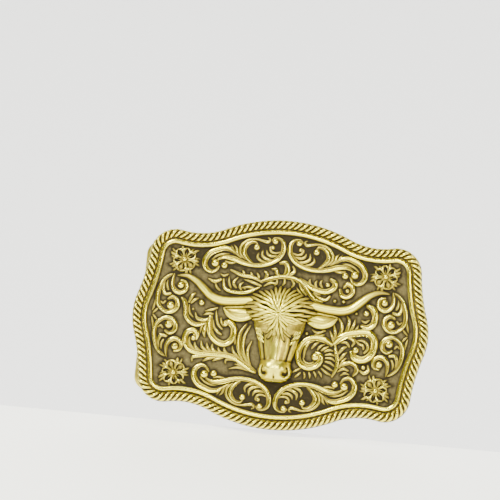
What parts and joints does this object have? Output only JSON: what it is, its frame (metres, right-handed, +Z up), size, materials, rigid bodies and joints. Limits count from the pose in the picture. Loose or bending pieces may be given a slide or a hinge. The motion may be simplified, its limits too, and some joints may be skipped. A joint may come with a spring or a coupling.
{
  "type": "belt buckle",
  "caption": "Shaped plate belt buckle in antiqued brass with a rope edge, leaf scrolls and a long-horned cattle head, a hinged wire bail and a hook post on its back.",
  "frame": {"origin": "the middle of the bail's strap bar, on the bar's axis", "axes": "+X to the right of the front, from the strap bar towards the hook; the front faces -Y; +Z is up as worn"},
  "size_m": [0.0948, 0.0175, 0.067],
  "materials": {
    "ground_brass": "darkened antique brass",
    "rope_brass": "antique brass, rubbed bright on top",
    "rim_brass": "antique brass, rubbed bright on top",
    "relief_brass": "antique brass, rubbed bright on top",
    "figure_brass": "antique brass, rubbed bright on top",
    "hardware_brass": "satin antique brass"
  },
  "bodies": {
    "bail": {"bail": "hardware_brass"},
    "plate": {"base_plate": "ground_brass", "rope_edge": "rope_brass", "inner_rim": "rim_brass", "longhorn_head": "figure_brass", "forelock": "figure_brass", "horn_right": "figure_brass", "horn_left": "figure_brass", "ear_right": "relief_brass", "ear_left": "relief_brass", "crest_scroll_upper_right": "relief_brass", "crest_scroll_upper_left": "relief_brass", "crest_scroll_lower_right": "relief_brass", "crest_scroll_lower_left": "relief_brass", "side_scroll_upper_right": "relief_brass", "side_scroll_upper_left": "relief_brass", "side_scroll_lower_right": "relief_brass", "side_scroll_lower_left": "relief_brass", "field_scroll_left": "relief_brass", "field_scroll_right": "relief_brass", "field_scroll_top": "relief_brass", "flower_upper_right": "relief_brass", "flower_upper_left": "relief_brass", "flower_lower_right": "relief_brass", "flower_lower_left": "relief_brass", "hinge_lug_upper": "hardware_brass", "hinge_lug_lower": "hardware_brass", "hook_base": "hardware_brass", "hook_post": "hardware_brass"}
  },
  "joints": [
    {"name": "plate_swing", "type": "hinge", "parent": "bail", "child": "plate", "pos_m": [0.016, 0, 0], "axis": [0, 0, 1], "range_deg": [-12, 165]}
  ]
}
